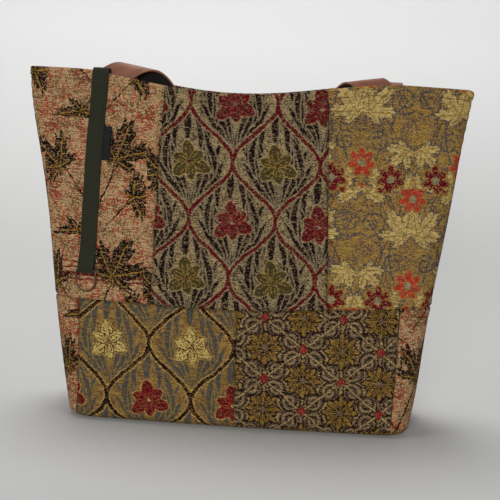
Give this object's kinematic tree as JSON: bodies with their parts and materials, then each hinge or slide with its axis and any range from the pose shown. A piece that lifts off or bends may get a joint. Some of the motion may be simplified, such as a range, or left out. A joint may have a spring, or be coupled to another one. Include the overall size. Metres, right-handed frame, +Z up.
{
  "type": "patchwork tote bag",
  "caption": "Open-topped patchwork tote of sewn tapestry panels with a flat base, a dark lining, strap handles and a key leash ending in a swinging wire ring.",
  "frame": {"origin": "middle of the base, on the surface that the bag stands on", "axes": "+Z up, +X to the right of someone facing the front, +Y from the front to the back"},
  "size_m": [0.4378, 0.1412, 0.3527],
  "materials": {
    "tapestry_coral": "woven tapestry with a leaf design, matt",
    "tapestry_ivory": "woven tapestry with a flower lattice, matt",
    "tapestry_gold": "woven tapestry with scattered flowers, matt",
    "tapestry_ochre": "woven tapestry with a dark flower lattice, matt",
    "tapestry_rosette": "woven tapestry with small rosettes, matt",
    "lining_black": "plain black lining cloth",
    "strap_brown": "soft brown strap, slightly sheened",
    "leash_tape": "dark olive-black woven tape",
    "label_cloth": "blank black satin tape",
    "ring_wire": "dark bronze-toned wire"
  },
  "bodies": {
    "bag": {"front_upper_left": "tapestry_coral", "front_upper_centre": "tapestry_ivory", "front_upper_right": "tapestry_gold", "front_lower_left_strip": "tapestry_coral", "front_lower_left": "tapestry_ochre", "front_lower_right": "tapestry_rosette", "front_lower_right_strip": "tapestry_coral", "back_upper_left": "tapestry_coral", "back_upper_centre": "tapestry_ivory", "back_upper_right": "tapestry_gold", "back_lower_left_strip": "tapestry_coral", "back_lower_left": "tapestry_ochre", "back_lower_right": "tapestry_rosette", "back_lower_right_strip": "tapestry_coral", "lining": "lining_black", "front_handle": "strap_brown", "back_handle": "strap_brown", "key_leash": "leash_tape", "label_tab": "label_cloth"},
    "ring": {"leash_ring": "ring_wire"}
  },
  "joints": [
    {"name": "ring_swing", "type": "hinge", "parent": "bag", "child": "ring", "pos_m": [-0.15504, -0.04357, 0.14891], "axis": [-0.976, 0.2179, 0], "range_deg": [0, 150]}
  ]
}
